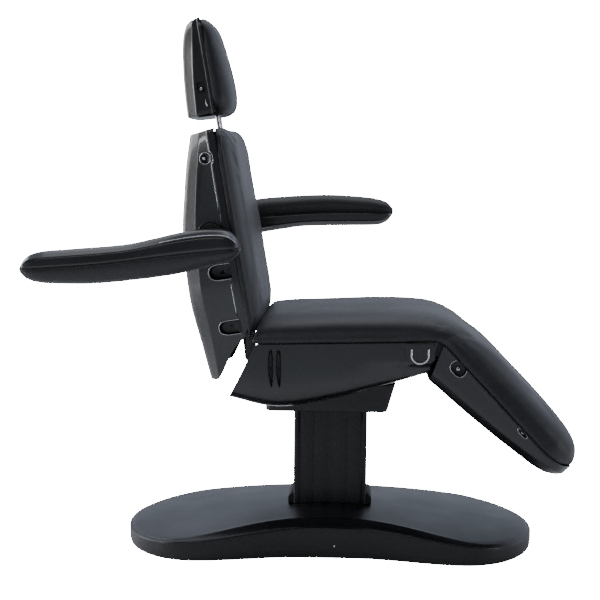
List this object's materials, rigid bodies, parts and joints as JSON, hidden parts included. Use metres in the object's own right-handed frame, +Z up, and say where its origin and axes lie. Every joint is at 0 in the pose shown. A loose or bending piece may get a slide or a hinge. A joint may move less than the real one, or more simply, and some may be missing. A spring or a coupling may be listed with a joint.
{
  "type": "facial treatment bed",
  "caption": "Padded treatment chair-bed on a lifting column and dog-bone base, with a reclining back, sliding headrest, swinging arms and a lifting leg rest.",
  "frame": {"origin": "on the floor under the column's axis, on the underside of the base plate", "axes": "+X points to the leg rest's foot end, +Y to the sitter's left arm, +Z up"},
  "size_m": [1.3278, 0.804, 1.3127],
  "materials": {
    "vinyl": "satin",
    "gloss": "gloss",
    "satin": "satin",
    "matte": "matte",
    "frame": "satin",
    "steel": "satin",
    "chrome": "polished",
    "brass": "satin",
    "wood": "matte"
  },
  "bodies": {
    "base": {"base_plate": "steel", "levelling_screw_1": "chrome", "levelling_screw_2": "chrome", "levelling_screw_3": "chrome", "levelling_screw_4": "chrome", "base_cover": "gloss", "column_outer": "satin", "column_collar": "satin", "lift_motor": "steel", "lift_spindle": "chrome", "mains_inlet": "matte"},
    "column_middle": {"column_middle": "steel", "lift_nut": "brass"},
    "seat": {"column_inner": "steel", "head_plate": "steel", "head_cover": "satin", "seat_frame": "frame", "seat_board": "wood", "seat_cushion": "vinyl", "knee_foam": "vinyl", "seat_shell": "gloss", "control_box": "matte", "back_pin_left": "chrome", "back_pin_right": "chrome", "leg_pin_left": "chrome", "leg_pin_right": "chrome", "hook_plate": "gloss"},
    "hook_ring": {"hook_ring": "chrome"},
    "backrest": {"back_frame": "frame", "back_board": "wood", "back_cushion": "vinyl", "back_shell": "gloss", "arm_hub_left": "satin", "arm_hub_right": "satin", "head_rod_guide_left": "matte", "head_rod_guide_right": "matte"},
    "headrest": {"head_rod_left": "chrome", "head_rod_right": "chrome", "head_bracket": "steel", "head_board": "wood", "head_cushion": "vinyl", "head_shell": "gloss"},
    "arm_left": {"arm_pad_left": "vinyl", "arm_shell_left": "gloss", "arm_bar_left": "frame"},
    "arm_right": {"arm_pad_right": "vinyl", "arm_shell_right": "gloss", "arm_bar_right": "frame"},
    "leg": {"leg_frame": "frame", "leg_board": "wood", "leg_cushion": "vinyl", "leg_shell": "gloss"},
    "back_drive_body": {"back_drive_body": "matte"},
    "back_drive_rod": {"back_drive_rod": "chrome"},
    "leg_drive_body": {"leg_drive_body": "matte"},
    "leg_drive_rod": {"leg_drive_rod": "chrome"}
  },
  "joints": [
    {"name": "lift_lower", "type": "slide", "parent": "base", "child": "column_middle", "axis": [0, 0, 1], "range_m": [0, 0.15]},
    {"name": "lift_upper", "type": "slide", "parent": "column_middle", "child": "seat", "axis": [0, 0, 1], "range_m": [0, 0.15]},
    {"name": "back_recline", "type": "hinge", "parent": "seat", "child": "backrest", "pos_m": [-0.19, 0, 0.545], "axis": [0, -1, 0], "range_deg": [0, 79]},
    {"name": "leg_lift", "type": "hinge", "parent": "seat", "child": "leg", "pos_m": [0.26, 0, 0.532], "axis": [0, -1, 0], "range_deg": [0, 48], "deforming": ["knee_foam"]},
    {"name": "headrest_slide", "type": "slide", "parent": "backrest", "child": "headrest", "axis": [-0.1736, 0, 0.9848], "range_m": [-0.03, 0.07]},
    {"name": "arm_left_swing", "type": "hinge", "parent": "backrest", "child": "arm_left", "pos_m": [-0.285, 0.354, 0.782], "axis": [0, -1, 0], "range_deg": [-80, 184]},
    {"name": "arm_right_swing", "type": "hinge", "parent": "backrest", "child": "arm_right", "pos_m": [-0.285, -0.354, 0.782], "axis": [0, -1, 0], "range_deg": [-264, 0]},
    {"name": "hook_ring_swing", "type": "hinge", "parent": "seat", "child": "hook_ring", "pos_m": [0.2135, -0.307, 0.524], "axis": [-1, 0, 0], "range_deg": [0, 90]},
    {"name": "back_drive_tilt", "type": "hinge", "parent": "seat", "child": "back_drive_body", "pos_m": [0.15, 0.05, 0.432], "axis": [0, -1, 0], "range_deg": [-12, 0]},
    {"name": "back_drive_stroke", "type": "slide", "parent": "back_drive_body", "child": "back_drive_rod", "axis": [-0.9972, 0, 0.0744], "range_m": [-0.093, 0]},
    {"name": "leg_drive_tilt", "type": "hinge", "parent": "seat", "child": "leg_drive_body", "pos_m": [-0.01, -0.05, 0.432], "axis": [0, -1, 0], "range_deg": [-2, 0]},
    {"name": "leg_drive_stroke", "type": "slide", "parent": "leg_drive_body", "child": "leg_drive_rod", "axis": [0.9767, 0, 0.2146], "range_m": [0, 0.0405]}
  ],
  "couplings": [
    {"joint": "lift_upper", "follows": "lift_lower", "ratio": 1},
    {"joint": "back_drive_tilt", "follows": "back_recline", "ratio": -0.14984},
    {"joint": "back_drive_stroke", "follows": "back_recline", "m_per_rad": -0.067173},
    {"joint": "leg_drive_tilt", "follows": "leg_lift", "ratio": -0.0381},
    {"joint": "leg_drive_stroke", "follows": "leg_lift", "m_per_rad": 0.047388}
  ]
}
